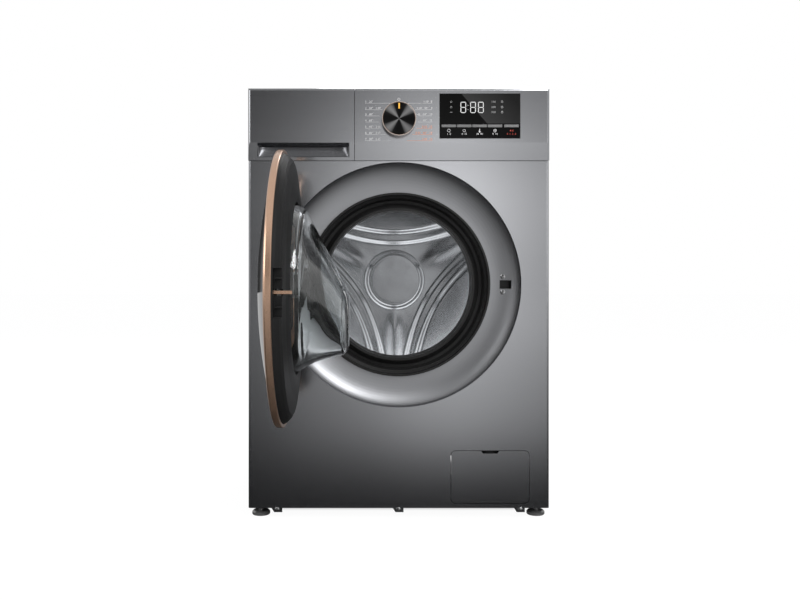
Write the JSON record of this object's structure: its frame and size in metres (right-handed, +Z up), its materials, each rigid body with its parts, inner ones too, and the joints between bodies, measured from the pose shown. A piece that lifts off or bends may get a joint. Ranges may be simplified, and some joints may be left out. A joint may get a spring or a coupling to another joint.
{
  "type": "front load washing machine",
  "caption": "Free-standing front load washing machine with a round glass door, detergent drawer, programme knob and direct drive drum.",
  "frame": {"origin": "floor level at the middle of the cabinet's footprint", "axes": "+Z up, -Y towards the user (the door side), +X to the user's right"},
  "size_m": [0.595, 1.0345, 0.85],
  "materials": {
    "cabinet_steel": "brushed dark silver enamel",
    "rear_steel": "zinc coated",
    "control_plastic": "metallic dark silver",
    "worktop_board": "laminated board",
    "black_glass": "gloss black window",
    "key_metal": "satin silver",
    "circuit": "circuit board",
    "knob_copper": "dark copper",
    "knob_face": "spun black",
    "white_plastic": "moulded",
    "black_plastic": "moulded",
    "copper_trim": "satin rose gold",
    "dark_glass": "tinted gloss dome",
    "bowl_glass": "clear pressed glass",
    "bare_steel": "zinc plated",
    "drum_steel": "bright stainless steel",
    "rubber": "dark grey rubber",
    "tub_plastic": "glass filled",
    "cast": "cast",
    "weight": "painted casting",
    "copper_wire": "wound coils"
  },
  "bodies": {
    "cabinet": {"side_panel_left": "cabinet_steel", "side_panel_right": "cabinet_steel", "rear_panel": "rear_steel", "rear_cover": "rear_steel", "base_frame": "black_plastic", "front_panel": "cabinet_steel", "worktop": "worktop_board", "control_fascia": "control_plastic", "display_glass": "black_glass", "control_board": "circuit", "dispenser_housing": "white_plastic", "inlet_valve": "white_plastic", "fill_hose": "rubber", "hinge_bracket": "bare_steel", "hinge_pin": "bare_steel", "door_lock": "black_plastic", "gasket": "rubber", "gasket_clamp": "bare_steel", "motor_stator": "copper_wire", "bearing_front": "bare_steel", "bearing_rear": "bare_steel", "shaft_seal": "rubber", "tub_front": "tub_plastic", "tub_rear": "tub_plastic", "counterweight_front": "weight", "counterweight_top": "weight", "heater": "bare_steel", "suspension_springs": "bare_steel", "dampers": "rear_steel", "drain_pump": "white_plastic", "sump_hose": "rubber", "level_sensor": "white_plastic", "lock_nuts": "bare_steel", "rear_grommets": "black_plastic"},
    "door": {"door_trim": "copper_trim", "door_dome": "dark_glass", "door_frame": "black_plastic", "door_bowl": "bowl_glass", "hinge_block": "bare_steel"},
    "hook": {"door_hook": "copper_trim"},
    "drawer": {"drawer_front": "control_plastic", "detergent_tray": "white_plastic"},
    "knob": {"knob_skirt": "knob_copper", "knob_cap": "knob_face"},
    "key_1": {"key_1": "key_metal"},
    "key_2": {"key_2": "key_metal"},
    "key_3": {"key_3": "key_metal"},
    "key_4": {"key_4": "key_metal"},
    "key_5": {"key_5": "key_metal"},
    "drum": {"drum_shell": "drum_steel", "drum_back": "drum_steel", "drum_lifters": "white_plastic", "drum_spider": "cast", "motor_rotor": "bare_steel"},
    "hatch": {"pump_hatch": "control_plastic"},
    "filter": {"filter_cap": "white_plastic"},
    "foot_front_left": {"foot_front_left": "rubber"},
    "foot_front_right": {"foot_front_right": "rubber"},
    "foot_rear_left": {"foot_rear_left": "rubber"},
    "foot_rear_right": {"foot_rear_right": "rubber"}
  },
  "joints": [
    {"name": "door_hinge", "type": "hinge", "parent": "cabinet", "child": "door", "pos_m": [-0.2105, -0.2905, 0.462], "axis": [0, 0, -1], "range_deg": [-90, 20]},
    {"name": "hook_pivot", "type": "hinge", "parent": "door", "child": "hook", "pos_m": [-0.2065, -0.7115, 0.462], "axis": [0, 0, 1], "range_deg": [-4, 3], "stiffness_Nm_per_rad": 0.4},
    {"name": "drawer_slide", "type": "slide", "parent": "cabinet", "child": "drawer", "axis": [0, -1, 0], "range_m": [0, 0.19]},
    {"name": "knob_turn", "type": "hinge", "parent": "cabinet", "child": "knob", "pos_m": [0, -0.28, 0.7865], "axis": [0, -1, 0], "continuous": true},
    {"name": "key_1_press", "type": "slide", "parent": "cabinet", "child": "key_1", "axis": [0, 1, 0], "range_m": [0, 0.0008], "stiffness_N_per_m": 600},
    {"name": "key_2_press", "type": "slide", "parent": "cabinet", "child": "key_2", "axis": [0, 1, 0], "range_m": [0, 0.0008], "stiffness_N_per_m": 600},
    {"name": "key_3_press", "type": "slide", "parent": "cabinet", "child": "key_3", "axis": [0, 1, 0], "range_m": [0, 0.0008], "stiffness_N_per_m": 600},
    {"name": "key_4_press", "type": "slide", "parent": "cabinet", "child": "key_4", "axis": [0, 1, 0], "range_m": [0, 0.0008], "stiffness_N_per_m": 600},
    {"name": "key_5_press", "type": "slide", "parent": "cabinet", "child": "key_5", "axis": [0, 1, 0], "range_m": [0, 0.0008], "stiffness_N_per_m": 600},
    {"name": "drum_spin", "type": "hinge", "parent": "cabinet", "child": "drum", "pos_m": [0, 0, 0.462], "axis": [0, 1, 0], "continuous": true},
    {"name": "hatch_hinge", "type": "hinge", "parent": "cabinet", "child": "hatch", "pos_m": [0.18075, -0.277, 0.0432], "axis": [1, 0, 0], "range_deg": [0, 90]},
    {"name": "filter_turn", "type": "hinge", "parent": "cabinet", "child": "filter", "pos_m": [0.18075, -0.28, 0.102], "axis": [0, -1, 0], "range_deg": [0, 270]},
    {"name": "foot_front_left_thread", "type": "slide", "parent": "cabinet", "child": "foot_front_left", "axis": [0, 0, -1], "range_m": [-0.004, 0.012]},
    {"name": "foot_front_right_thread", "type": "slide", "parent": "cabinet", "child": "foot_front_right", "axis": [0, 0, -1], "range_m": [-0.004, 0.012]},
    {"name": "foot_rear_left_thread", "type": "slide", "parent": "cabinet", "child": "foot_rear_left", "axis": [0, 0, -1], "range_m": [-0.004, 0.012]},
    {"name": "foot_rear_right_thread", "type": "slide", "parent": "cabinet", "child": "foot_rear_right", "axis": [0, 0, -1], "range_m": [-0.004, 0.012]}
  ]
}
